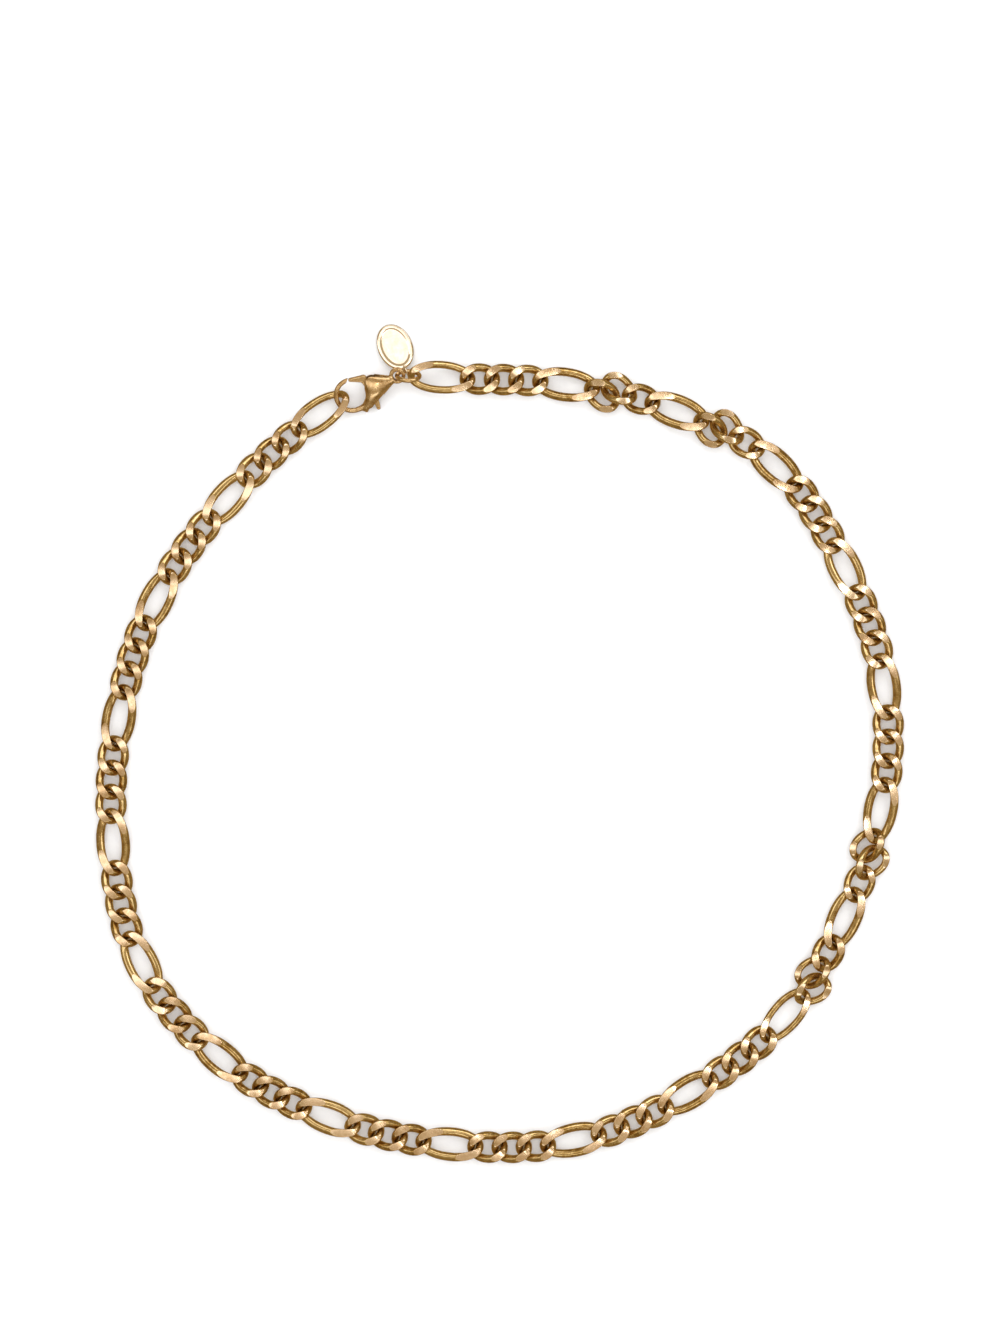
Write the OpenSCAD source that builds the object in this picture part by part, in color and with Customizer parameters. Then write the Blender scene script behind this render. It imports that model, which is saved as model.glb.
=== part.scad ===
// Figaro chain necklace with a lobster clasp, a jump ring and a plain tag.
// It lies closed on a surface at z = 0. Lengths are in millimetres.
// Travel along the chain runs clockwise seen from above: from the jump ring,
// round the loop, to the link that the clasp holds.

/* [Link wire] */
// Diameter of the link wire
wire_d = 1.3; // [1.2:0.01:1.4]
// Thickness of a link over its two filed faces
filed_t = 2.3; // [2.1:0.05:2.5]
// Half twist of a link, from its middle to each end, in degrees
link_twist = 41; // [38:1:46]
// Play between two taut links
link_play = 0.26; // [0.2:0.01:0.35]

/* [Long link] */
// Outer length of a long link
long_len = 12.2; // [11.5:0.1:14]
// Outer width of a long link
long_w = 5.8; // [5.6:0.05:6.4]

/* [Short link] */
// Outer length of a short link
short_len = 7.2; // [7:0.05:7.6]
// Outer width of a short link
short_w = 5.5; // [5.4:0.05:5.9]

/* [Chain] */
// Short links after each long link
shorts = 3; // [3:1:3]
// Groups of one long link and its short links, before the last long link
groups = 19; // [17:1:21]

/* [Clasp] */
// Distance from the middle of the eye to the middle of the claw's bow
bow_reach = 8.9; // [8.6:0.1:9.8]
// How far the bow's middle lies off the clasp's own axis
bow_drop = 0.3; // [0.1:0.05:0.8]
// Radius of the claw's bow, to the middle of its wire
bow_r = 2.85; // [2.6:0.05:3.1]
// Diameter of the claw's wire
claw_d = 0.9; // [0.8:0.05:1.1]
// Largest thickness of the clasp's body
body_t = 3.4; // [3.2:0.1:3.8]
// Thickness of the body at its shoulders
shoulder_t = 2.2; // [2:0.1:2.6]
// Thickness of the clasp's eye
eye_t = 1.1; // [0.9:0.05:1.3]
// Outer diameter of the clasp's eye
eye_d = 2.9; // [2.7:0.1:3.3]
// Diameter of the hole in the eye
eye_hole_d = 1.5; // [1.4:0.05:1.6]

/* [Lever] */
// Thickness of the lever
lever_t = 1.0; // [0.8:0.05:1.1]
// Gap between the lever and each cheek of the body
lever_gap = 0.15; // [0.1:0.05:0.25]
// Diameter of the lever's hub
hub_d = 2.2; // [2:0.1:2.6]
// Diameter of the rivet pin
pin_d = 0.8; // [0.6:0.05:1]
// Radial clearance of the lever on the pin
pin_gap = 0.05; // [0.02:0.01:0.1]
// Gap between the gate's tip and the claw's tip
gate_gap = 0.15; // [0.1:0.05:0.3]
// Width of the gate
gate_w = 1.3; // [1.1:0.05:1.5]
// Width of the gate's tip
gate_tip_w = 0.6; // [0.5:0.05:0.8]
// Width of the thumb nub where it leaves the hub
nub_w = 1.4; // [1.3:0.05:1.8]
// Width of the thumb nub's tip
nub_tip_w = 0.7; // [0.6:0.05:0.9]

/* [Jump ring] */
// Wire diameter of the jump ring
ring_wire_d = 0.8; // [0.7:0.05:0.9]
// Inner diameter of the jump ring
ring_inner_d = 3.2; // [3.1:0.05:3.8]
// Lean of the standing ring from upright, in degrees
ring_lean = 28; // [15:1:30]

/* [Tag] */
// Length of the tag's plate
tag_len = 8.4; // [6:0.2:10]
// Width of the tag's plate
tag_w = 6.2; // [5:0.2:7]
// Thickness of the tag's plate
tag_t = 1.0; // [0.8:0.1:1.4]
// Wire diameter of the tag's loop
loop_wire_d = 0.4; // [0.35:0.05:0.5]
// Inner diameter of the tag's loop
loop_inner_d = 1.25; // [1.15:0.05:1.4]

/* [Hidden] */

// The lie of the necklace: a closed curve seen from above, through the long links'
// middles and last through the clasp's eye.
ROUTE = [
    [-10.4, 65.8], [11.8, 64.8], [31.8, 60.0], [49.2, 50.9], [61.6, 32.9],
    [69.2, 11.5], [69.0, -10.4], [62.7, -30.0], [52.6, -47.8], [34.9, -62.3],
    [14.2, -71.3], [-8.2, -72.1], [-30.3, -67.4], [-50.3, -56.6], [-64.6, -39.7],
    [-69.6, -17.8], [-68.6, 4.5], [-62.0, 25.7], [-49.3, 43.7], [-33.2, 58.5],
    [-18.7, 66.2]
];

// Links that lie out of line, counted from 0 at the jump ring: the last ones at both ends,
// which the ring and the claw lift or turn, and those at each half turn of the chain.
// A half turn is taken up by two crossed links between two flat ones.
//  gather   how much closer it lies to the link before it than a taut one, in wire diameters
//  roll, tilt, turn   degrees about the link's length, its width and the upright
//  forward, left   shift along and across the chain, in wire diameters
//  height   height of its middle above the surface, in wire diameters
LINK = 0;
GATHER = 1;
ROLL = 2;
TILT = 3;
TURN = 4;
FORWARD = 5;
LEFT = 6;
HEIGHT = 7;
FLAT = filed_t / 2 / wire_d;
KINKS = [
    [0, 0, 0, 5.5, 0, 0, 0, FLAT + 0.4],
    [5, 0.47, 14, 9, -27, 0.34, -0.62, 1.07],
    [6, 0.47, 166, -8, -24, -0.39, 0.52, 1.07],
    [7, 0.47, 0, 0, 0, 0, 0, FLAT],
    [9, 0.47, 14, 9, -27, 0.34, -0.62, 1.07],
    [10, 0.47, 166, -8, -24, -0.39, 0.52, 1.07],
    [11, 0.47, 0, 0, 0, 0, 0, FLAT],
    [25, 0.47, 14, 9, -27, 0.34, -0.62, 1.07],
    [26, 0.47, 166, -8, -24, -0.39, 0.52, 1.07],
    [27, 0.47, 0, 0, 0, 0, 0, FLAT],
    [30, 0.47, 14, 8, -24, 0.39, -0.52, 1.07],
    [31, 0.47, 166, -9, -27, -0.34, 0.62, 1.07],
    [32, 0.47, 0, 0, 0, 0, 0, FLAT],
    [74, 0, -0.4, 0, 0, 0, 0, 0.9],
    [75, 0, -3, -4.4, 0, 0, 0, 1.04],
    [76, 0, -4.2, 0.9, 0.3, 0, 0.17, 1.055]
];

// Link wire and the shape of a link
wire_r = wire_d / 2;
half_filed = filed_t / 2;
long_a = long_len / 2 - wire_r;
long_b = long_w / 2 - wire_r;
short_a = short_len / 2 - wire_r;
short_b = short_w / 2 - wire_r;
LINK_SIDES = 14;
// Exponent that squares the oval a little
OVAL = 0.8;
// Least half angle of a filed face on the wire
MIN_FILED = 30;

// Number of links and which of them are long
period = shorts + 1;
n_links = groups * period + 1;
half_links = floor(n_links / 2);
function is_long(i) = i % period == 0;
function half_len(i) = is_long(i) ? long_a : short_a;

// The route as a cubic through its points, each point's slope weighing both chords at it
N = len(ROUTE);
STEPS = 24;
function stop(i) = ROUTE[(i + N) % N];
function chord(i) = norm(stop(i + 1) - stop(i));
function heading(i) = (stop(i + 1) - stop(i)) / chord(i);
function slope(i) = (heading(i) * chord(i - 1) + heading(i - 1) * chord(i)) / (chord(i) + chord(i - 1));
function bend(i, f) =
    (2 * f ^ 3 - 3 * f ^ 2 + 1) * stop(i)
    + (f ^ 3 - 2 * f ^ 2 + f) * chord(i) * slope(i)
    + (3 * f ^ 2 - 2 * f ^ 3) * stop(i + 1)
    + (f ^ 3 - f ^ 2) * chord(i) * slope(i + 1);
trace = [for (i = [0:N - 1]) for (k = [0:STEPS - 1]) bend(i, k / STEPS), stop(0)];
run = [
    for (
        k = 0, s = 0;
        k < len(trace);
        s = s + norm(trace[min(k + 1, len(trace) - 1)] - trace[k]), k = k + 1
    )
        s
];
east = [for (k = [0:len(trace) - 1]) [run[k], trace[k][0]]];
north = [for (k = [0:len(trace) - 1]) [run[k], trace[k][1]]];
raw_length = run[len(run) - 1];

// Distance of each link's middle from the first link's, along the chain
function kinks_of(i) = [for (row = KINKS) if (row[LINK] == i) row];
function gather(i) = len(kinks_of(i)) == 0 ? 0 : kinks_of(i)[0][GATHER] * wire_d;
function pitch(i) = half_len(i - 1) + half_len(i) - wire_d - link_play - gather(i);
link_s = [for (i = 0, s = 0; i < n_links; i = i + 1, s = s + (i < n_links ? pitch(i) : 0)) s];

// Jump ring, eye and bow along the route, counted back from the first link's middle
ring_r = (ring_inner_d + ring_wire_d) / 2;
FIRST_PAST_RING = 0.53;
RING_PLAY = 0.4;
LAST_SLACK = 0.24;
first_from_ring = long_a + FIRST_PAST_RING;
ring_from_eye = ring_r + (eye_hole_d - ring_wire_d) / 2 - RING_PLAY;
eye_from_bow = bow_reach + bow_r;
bow_from_last = long_a - wire_r - claw_d / 2 - link_play - LAST_SLACK;
closure = first_from_ring + ring_from_eye + eye_from_bow + bow_from_last;
loop_length = link_s[n_links - 1] + closure;
scale_up = loop_length / raw_length;

// Shift that brings the middle of the whole outline to the origin
MIDDLE = [-0.03, -0.17];

// A spot on the route at a distance, and the spot and direction of a piece that lies along it
function spot(s) =
    let (raw = s / scale_up, r = raw - raw_length * floor(raw / raw_length))
    MIDDLE + scale_up * [lookup(r, east), lookup(r, north)];
function lie(s, reach) =
    let (p = spot(s - 0.9 * reach), q = spot(s + 0.9 * reach))
    [(p + q) / 2, atan2(q.y - p.y, q.x - p.x)];

// Middle line of a link: a squared oval, twisted about its length
function power(x) = sign(x) * pow(abs(x), OVAL);
function middle(a, b, t) =
    let (u = a * power(cos(t)), v = b * power(sin(t)), f = -link_twist * u / a)
    [u, v * cos(f), v * sin(f)];
function unit(v) = v / norm(v);

// Six corners of the wire there, two on each filed face
function section(a, b, t) =
    let (
        p = middle(a, b, t),
        along = unit(middle(a, b, t + 1) - middle(a, b, t - 1)),
        up = unit([0, 0, 1] - along * along.z),
        side = cross(along, up),
        reach = wire_r * up.z,
        top = max(MIN_FILED, acos(min(1, (half_filed - p.z) / reach))),
        bottom = max(MIN_FILED, acos(min(1, (half_filed + p.z) / reach))),
        flank = (top + 180 - bottom) / 2
    )
    [
        for (w = [top, flank, 180 - bottom, 180 + bottom, 360 - flank, 360 - top])
            p + wire_r * (cos(w) * up + sin(w) * side)
    ];

// A twisted, filed link lying along X about its own middle
WIRE_SIDES = 6;
module link(a, b) {
    points = [for (k = [0:LINK_SIDES - 1]) each section(a, b, 360 * k / LINK_SIDES)];
    faces = [
        for (k = [0:LINK_SIDES - 1]) for (j = [0:WIRE_SIDES - 1])
            let (
                m = (k + 1) % LINK_SIDES,
                n = (j + 1) % WIRE_SIDES,
                p = k * WIRE_SIDES + j,
                q = k * WIRE_SIDES + n,
                r = m * WIRE_SIDES + n,
                s = m * WIRE_SIDES + j
            )
            each [[p, r, q], [p, s, r]]
    ];
    polyhedron(points, faces, convexity = 6);
}

// One link where it lies, with its row of the table if it has one
module set_link(i) {
    rows = kinks_of(i);
    row = len(rows) == 0 ? [i, 0, 0, 0, 0, 0, 0, FLAT] : rows[0];
    place = lie(link_s[i], half_len(i));
    translate([place[0].x, place[0].y, row[HEIGHT] * wire_d])
        rotate(place[1])
            translate(wire_d * [row[FORWARD], row[LEFT], 0])
                rotate([row[ROLL], row[TILT], row[TURN]])
                    link(half_len(i), is_long(i) ? long_b : short_b);
}

module chain_right() {
    color("goldenrod")
        for (i = [0:half_links])
            set_link(i);
}

module chain_left() {
    color("goldenrod")
        for (i = [half_links + 1:n_links - 1])
            set_link(i);
}

// Clasp, drawn flat about the middle of its eye, with the bow towards -X
CLAW_TIP = 83;
GATE_TIP = 75;
FACE_TURN = 138;
NUB_FROM = -120;
NUB_TO = -45;
PIN_SHORT = 0.4;
ROOT_LAP = 0.3;
bow = [-bow_reach, -bow_drop];
function by_bow(share) = bow + bow_r * share;
neck = [-eye_d / 2, -eye_d / 8];
upper_shoulder = by_bow([1.37, 0.56]);
lower_shoulder = by_bow([0.81, -0.88]);
crown = by_bow([1.42, -0.28]);
pivot = by_bow([1.3, -0.1]);
gate_knee = by_bow([1.05, 0.72]);
nub_tip = by_bow([1.25, -1.37]);
gate_tip = by_bow([cos(GATE_TIP), sin(GATE_TIP)]);
tip_swing = norm(gate_tip - pivot);
neck_r = 0.75 * eye_t;
shoulder_r = shoulder_t / 2;
slot_t = lever_t + 2 * lever_gap;
hub_room = hub_d / 2 + 0.25;

// Lie of the clasp: it leans on its lower shoulder, and its claw and eye sit higher
CLASP_ROLL = 17.4;
CLASP_TILT = -5;
CLASP_TURN = -2.9;
function rise(p) = -sin(CLASP_TILT) * p.x + cos(CLASP_TILT) * sin(CLASP_ROLL) * p.y;
clasp_z = max([
    shoulder_r - rise(lower_shoulder),
    shoulder_r - rise(upper_shoulder),
    body_t / 2 - rise(crown),
    claw_d / 2 - rise(bow - [0, bow_r])
]);
eye_s = -first_from_ring - ring_from_eye;
bow_s = eye_s - eye_from_bow;
eye_spot = spot(eye_s);
bow_spot = spot(bow_s);
clasp_turn = atan2(eye_spot.y - bow_spot.y, eye_spot.x - bow_spot.x) + CLASP_TURN;
module lay_clasp() {
    translate([eye_spot.x, eye_spot.y, clasp_z])
        rotate([CLASP_ROLL, CLASP_TILT, clasp_turn])
            children();
}

// The fixed claw: a round hook, cut back for the gate, and its straight root
module claw() {
    difference() {
        translate(bow)
            rotate(CLAW_TIP)
                rotate_extrude(angle = 270 - CLAW_TIP, $fn = 64)
                    translate([bow_r, 0])
                        circle(d = claw_d, $fn = 32);
        // Room for the gate's tip as it swings about the pin
        translate(pivot)
            rotate(FACE_TURN)
                translate([tip_swing + gate_tip_w / 2 + gate_gap - claw_d, -claw_d, -claw_d])
                    cube([claw_d, 2 * claw_d, 2 * claw_d]);
    }
    // The root laps over the hook's end and is a hair thicker there
    translate(bow - [ROOT_LAP, bow_r])
        rotate([0, 90, 0])
            cylinder(d = 1.05 * claw_d, h = lower_shoulder.x - bow.x, $fn = 32);
}

module lever_slot() {
    wide = 4 * bow_r;
    linear_extrude(slot_t, center = true) {
        translate(pivot + [hub_room - wide, -hub_room])
            square(wide);
        polygon([
            pivot,
            pivot + wide * [cos(NUB_FROM), sin(NUB_FROM)],
            pivot + wide * [cos(NUB_TO), sin(NUB_TO)]
        ]);
    }
}

module clasp_body() {
    color("gold")
        lay_clasp()
            difference() {
                union() {
                    difference() {
                        hull() {
                            translate(neck)
                                sphere(r = neck_r, $fn = 24);
                            translate(upper_shoulder)
                                sphere(r = shoulder_r, $fn = 24);
                            translate(lower_shoulder)
                                sphere(r = shoulder_r, $fn = 24);
                            translate(crown)
                                sphere(d = body_t, $fn = 32);
                        }
                        lever_slot();
                        translate(pivot)
                            cylinder(d = pin_d, h = 2 * body_t, center = true, $fn = 48);
                    }
                    cylinder(d = eye_d, h = eye_t, center = true, $fn = 64);
                    claw();
                }
                cylinder(d = eye_hole_d, h = 2 * eye_t, center = true, $fn = 48);
            }
}

// A flat bar from p to q with round ends, of width wp at p and wq at q
module bar(p, q, wp, wq, thick) {
    across = [p.y - q.y, q.x - p.x] / norm(q - p);
    linear_extrude(thick, center = true) {
        translate(p)
            circle(d = wp, $fn = 32);
        translate(q)
            circle(d = wq, $fn = 32);
        polygon([
            p + across * wp / 2,
            p - across * wp / 2,
            q - across * wq / 2,
            q + across * wq / 2
        ]);
    }
}

module clasp_lever() {
    color("gold")
        lay_clasp()
            difference() {
                union() {
                    translate(pivot)
                        cylinder(d = hub_d, h = lever_t, center = true, $fn = 48);
                    bar(pivot, gate_knee, gate_w, gate_w, lever_t);
                    bar(gate_knee, gate_tip, gate_w, gate_tip_w, lever_t);
                    bar(pivot, nub_tip, nub_w, nub_tip_w, lever_t);
                }
                translate(pivot)
                    cylinder(r = pin_d / 2 + pin_gap, h = 2 * lever_t, center = true, $fn = 48);
            }
}

module clasp_pin() {
    color("darkgoldenrod")
        lay_clasp()
            translate(pivot)
                cylinder(d = pin_d, h = body_t - PIN_SHORT, center = true, $fn = 48);
}

// The jump ring stands on edge and leans, and the tag's loop lies under it
LOOP_PLAY = 0.13;
LOOP_TURN = 11;
TAG_TURN = 26;
ring_lie = lie(-first_from_ring, ring_r);
loop_r = (loop_inner_d + loop_wire_d) / 2;
loop_z = loop_r + loop_wire_d / 2;
ring_z = loop_wire_d + LOOP_PLAY + ring_wire_d / 2 + ring_r * cos(LOOP_TURN) * cos(ring_lean);
ring_left = (clasp_z - ring_z) * tan(ring_lean);

module jump_ring() {
    color("goldenrod")
        translate([ring_lie[0].x, ring_lie[0].y, ring_z])
            rotate(ring_lie[1])
                translate([0, ring_left, 0])
                    rotate([90 + ring_lean, 0, 0])
                        rotate_extrude($fn = 64)
                            translate([ring_r, 0])
                                circle(d = ring_wire_d, $fn = 24);
}

module tag() {
    start = loop_r - loop_wire_d / 2;
    hang = ring_r * [-sin(LOOP_TURN), cos(LOOP_TURN) * sin(ring_lean), 0];
    color("gold")
        translate([ring_lie[0].x, ring_lie[0].y, 0])
            rotate(ring_lie[1])
                translate([0, ring_left, 0] + hang)
                    rotate(TAG_TURN) {
                        translate([0, 0, loop_z])
                            rotate([0, 90, 0])
                                rotate_extrude($fn = 48)
                                    translate([loop_r, 0])
                                        circle(d = loop_wire_d, $fn = 24);
                        translate([0, start + tag_len / 2, 0])
                            linear_extrude(tag_t)
                                polygon([
                                    for (k = [0:47])
                                        [tag_w / 2 * cos(7.5 * k), tag_len / 2 * sin(7.5 * k)]
                                ]);
                    }
}

chain_right();
chain_left();
clasp_body();
clasp_lever();
clasp_pin();
jump_ring();
tag();
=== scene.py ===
"""Figaro chain necklace lying closed on a pale floor, seen from straight above.

Every length is in millimetres in the part's own frame and turned into metres when a mesh is made.
The route, the links' formula and the clasp's points are those of the part's source.
"""

import bpy
import numpy as np
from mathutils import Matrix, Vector


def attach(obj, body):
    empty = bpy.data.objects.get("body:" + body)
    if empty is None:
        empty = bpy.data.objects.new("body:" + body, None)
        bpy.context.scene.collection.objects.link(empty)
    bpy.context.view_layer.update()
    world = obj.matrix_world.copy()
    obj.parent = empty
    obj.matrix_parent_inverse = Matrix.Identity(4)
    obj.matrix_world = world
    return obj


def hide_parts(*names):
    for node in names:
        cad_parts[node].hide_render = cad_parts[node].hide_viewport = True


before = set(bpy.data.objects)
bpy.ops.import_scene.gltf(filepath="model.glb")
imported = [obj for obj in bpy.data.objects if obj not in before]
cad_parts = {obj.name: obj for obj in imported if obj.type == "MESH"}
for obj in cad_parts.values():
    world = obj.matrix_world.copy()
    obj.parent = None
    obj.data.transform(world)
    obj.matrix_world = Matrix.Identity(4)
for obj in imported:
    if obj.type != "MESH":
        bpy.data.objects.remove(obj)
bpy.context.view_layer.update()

MM = 0.001

# Link wire and links
WIRE_R = 0.65
HALF_FILED = 1.15
LINK_TWIST = 41.0
LINK_PLAY = 0.26
OVAL = 0.8
LONG = (12.2 / 2 - WIRE_R, 5.8 / 2 - WIRE_R)
SHORT = (7.2 / 2 - WIRE_R, 5.5 / 2 - WIRE_R)
PERIOD = 4
LINKS = 77
HALF_LINKS = 38

# Clasp, lever, jump ring and tag
BOW_REACH, BOW_DROP, BOW_R = 8.9, 0.3, 2.85
CLAW_R = 0.45
BODY_T, SHOULDER_T = 3.4, 2.2
EYE_T, EYE_D, EYE_HOLE_D = 1.1, 2.9, 1.5
LEVER_T, LEVER_GAP, HUB_D = 1.0, 0.15, 2.2
PIN_D, PIN_GAP, PIN_SHORT = 0.8, 0.05, 0.4
GATE_GAP, GATE_W, GATE_TIP_W = 0.15, 1.3, 0.6
NUB_W, NUB_TIP_W = 1.4, 0.7
RING_WIRE_R, RING_R, RING_LEAN = 0.4, 2.0, 28.0
TAG_LEN, TAG_W, TAG_T = 8.4, 6.2, 1.0
LOOP_WIRE_R, LOOP_R = 0.2, 0.825
LOOP_PLAY, LOOP_TURN, TAG_TURN = 0.13, 11.0, 26.0
CLAW_TIP, CLAW_FOOT, GATE_TIP, FACE_TURN = 83.0, 270.0, 75.0, 138.0
NUB_FROM, NUB_TO = -120.0, -45.0
CLASP_ROLL, CLASP_TILT, CLASP_TURN = 17.4, -5.0, -2.9

# How the pieces follow each other along the route
FIRST_PAST_RING, RING_PLAY, LAST_SLACK = 0.53, 0.4, 0.24
CHORD_SHARE = 0.9
MIDDLE = np.array([-0.03, -0.17])
ROUTE = np.array([
    [-10.4, 65.8], [11.8, 64.8], [31.8, 60.0], [49.2, 50.9], [61.6, 32.9],
    [69.2, 11.5], [69.0, -10.4], [62.7, -30.0], [52.6, -47.8], [34.9, -62.3],
    [14.2, -71.3], [-8.2, -72.1], [-30.3, -67.4], [-50.3, -56.6], [-64.6, -39.7],
    [-69.6, -17.8], [-68.6, 4.5], [-62.0, 25.7], [-49.3, 43.7], [-33.2, 58.5],
    [-18.7, 66.2],
])

# Links out of line: gather, roll, tilt, turn, forward, left and height. Angles are in degrees,
# and lengths in wire diameters. CROSS_A and CROSS_B are two links that stand crossed.
FLAT = HALF_FILED / (2 * WIRE_R)
CROSS_A = (0.47, 14, 9, -27, 0.34, -0.62, 1.07)
CROSS_B = (0.47, 166, -8, -24, -0.39, 0.52, 1.07)
AFTER = (0.47, 0, 0, 0, 0, 0, FLAT)
KINKS = {
    0: (0, 0, 5.5, 0, 0, 0, FLAT + 0.4),
    5: CROSS_A, 6: CROSS_B, 7: AFTER,
    9: CROSS_A, 10: CROSS_B, 11: AFTER,
    25: CROSS_A, 26: CROSS_B, 27: AFTER,
    30: (0.47, 14, 8, -24, 0.39, -0.52, 1.07),
    31: (0.47, 166, -9, -27, -0.34, 0.62, 1.07),
    32: AFTER,
    74: (0, -0.4, 0, 0, 0, 0, 0.9),
    75: (0, -3, -4.4, 0, 0, 0, 1.04),
    76: (0, -4.2, 0.9, 0.3, 0, 0.17, 1.055),
}


# Small helpers

def unit(v):
    """Vectors of the same directions and length 1."""
    return v / np.linalg.norm(v, axis=-1, keepdims=True)


def turned(roll, tilt, turn):
    """Rotation matrix: about X, then Y, then Z, in degrees."""
    angles = np.radians([roll, tilt, turn])
    (cx, cy, cz), (sx, sy, sz) = np.cos(angles), np.sin(angles)
    about_x = np.array([[1, 0, 0], [0, cx, -sx], [0, sx, cx]])
    about_y = np.array([[cy, 0, sy], [0, 1, 0], [-sy, 0, cy]])
    about_z = np.array([[cz, -sz, 0], [sz, cz, 0], [0, 0, 1]])
    return about_z @ about_y @ about_x


def toward(angle):
    """Unit vector in the plane at an angle in degrees."""
    return np.array([np.cos(np.radians(angle)), np.sin(np.radians(angle))])


# The route

def traced_route(steps=24):
    """Points of a closed curve of cubics through the route's points.

    The slope at each point weighs the two chords that meet there.
    """
    after = np.roll(ROUTE, -1, axis=0)
    chord = np.linalg.norm(after - ROUTE, axis=1)[:, None]
    heading = (after - ROUTE) / chord
    before, back = np.roll(chord, 1, axis=0), np.roll(heading, 1, axis=0)
    slope = (heading * before + back * chord) / (chord + before)
    f = (np.arange(steps) / steps)[None, :, None]
    points = (
        (2 * f ** 3 - 3 * f ** 2 + 1) * ROUTE[:, None]
        + (f ** 3 - 2 * f ** 2 + f) * (chord * slope)[:, None]
        + (3 * f ** 2 - 2 * f ** 3) * after[:, None]
        + (f ** 3 - f ** 2) * (chord * np.roll(slope, -1, axis=0))[:, None]
    )
    return np.vstack([points.reshape(-1, 2), ROUTE[:1]])


TRACE = traced_route()
RUN = np.r_[0, np.cumsum(np.linalg.norm(np.diff(TRACE, axis=0), axis=1))]


def half_sizes(i):
    """Half length and half width of link i, to the middle of its wire."""
    return LONG if i % PERIOD == 0 else SHORT


def gather(i):
    """How much nearer link i lies to the one before it than in a straight chain."""
    return KINKS[i][0] * 2 * WIRE_R if i in KINKS else 0.0


LINK_S = np.r_[0, np.cumsum([
    half_sizes(i - 1)[0] + half_sizes(i)[0] - 2 * WIRE_R - LINK_PLAY - gather(i)
    for i in range(1, LINKS)
])]
FIRST_FROM_RING = LONG[0] + FIRST_PAST_RING
RING_FROM_EYE = RING_R + (EYE_HOLE_D / 2 - RING_WIRE_R) - RING_PLAY
EYE_FROM_BOW = BOW_REACH + BOW_R
BOW_FROM_LAST = LONG[0] - WIRE_R - CLAW_R - LINK_PLAY - LAST_SLACK
LOOP_LENGTH = LINK_S[-1] + FIRST_FROM_RING + RING_FROM_EYE + EYE_FROM_BOW + BOW_FROM_LAST
SCALE_UP = LOOP_LENGTH / RUN[-1]


def spot(s):
    """Point of the route at a distance along it."""
    r = (s / SCALE_UP) % RUN[-1]
    return MIDDLE + SCALE_UP * np.array([np.interp(r, RUN, TRACE[:, k]) for k in (0, 1)])


def lie(s, reach):
    """Place and heading in degrees of a piece that lies along the route."""
    p, q = spot(s - CHORD_SHARE * reach), spot(s + CHORD_SHARE * reach)
    return (p + q) / 2, np.degrees(np.arctan2(q[1] - p[1], q[0] - p[0]))


# Links

def middle(a, b, t):
    """Middle line of a link: a squared oval in the plane, twisted about its length."""
    c, n = np.cos(np.radians(t)), np.sin(np.radians(t))
    u = a * np.sign(c) * np.abs(c) ** OVAL
    v = b * np.sign(n) * np.abs(n) ** OVAL
    f = np.radians(-LINK_TWIST * u / a)
    return np.stack([u, v * np.cos(f), v * np.sin(f)], -1)


# Where the points of a ring lie across a filed face, and across a flank
FLAT_SHARES = np.array([-1, -0.88, -0.45, 0, 0.45, 0.88, 1])
FLANK_SHARES = np.array([0.07, 0.24, 0.41, 0.5, 0.59, 0.76, 0.93])
FLAT_FACES_WIDE = len(FLAT_SHARES) - 1
HALF_RING = len(FLAT_SHARES) + len(FLANK_SHARES)
FLAT_EDGES = [0, FLAT_FACES_WIDE, HALF_RING, HALF_RING + FLAT_FACES_WIDE]
FLAT_FACES = [*range(FLAT_FACES_WIDE), *range(HALF_RING, HALF_RING + FLAT_FACES_WIDE)]

# A filed face's half angle at least, and from where it counts as one
LEAST_FLAT, CLEARLY_FLAT = 8.0, 8.5
LEAST_CUT = 1e-4
CROWN_ACROSS, CROWN_ALONG = 0.03, 0.006
FLANK_FROM = 0.6
OVAL_POINTS = 2881


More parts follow.
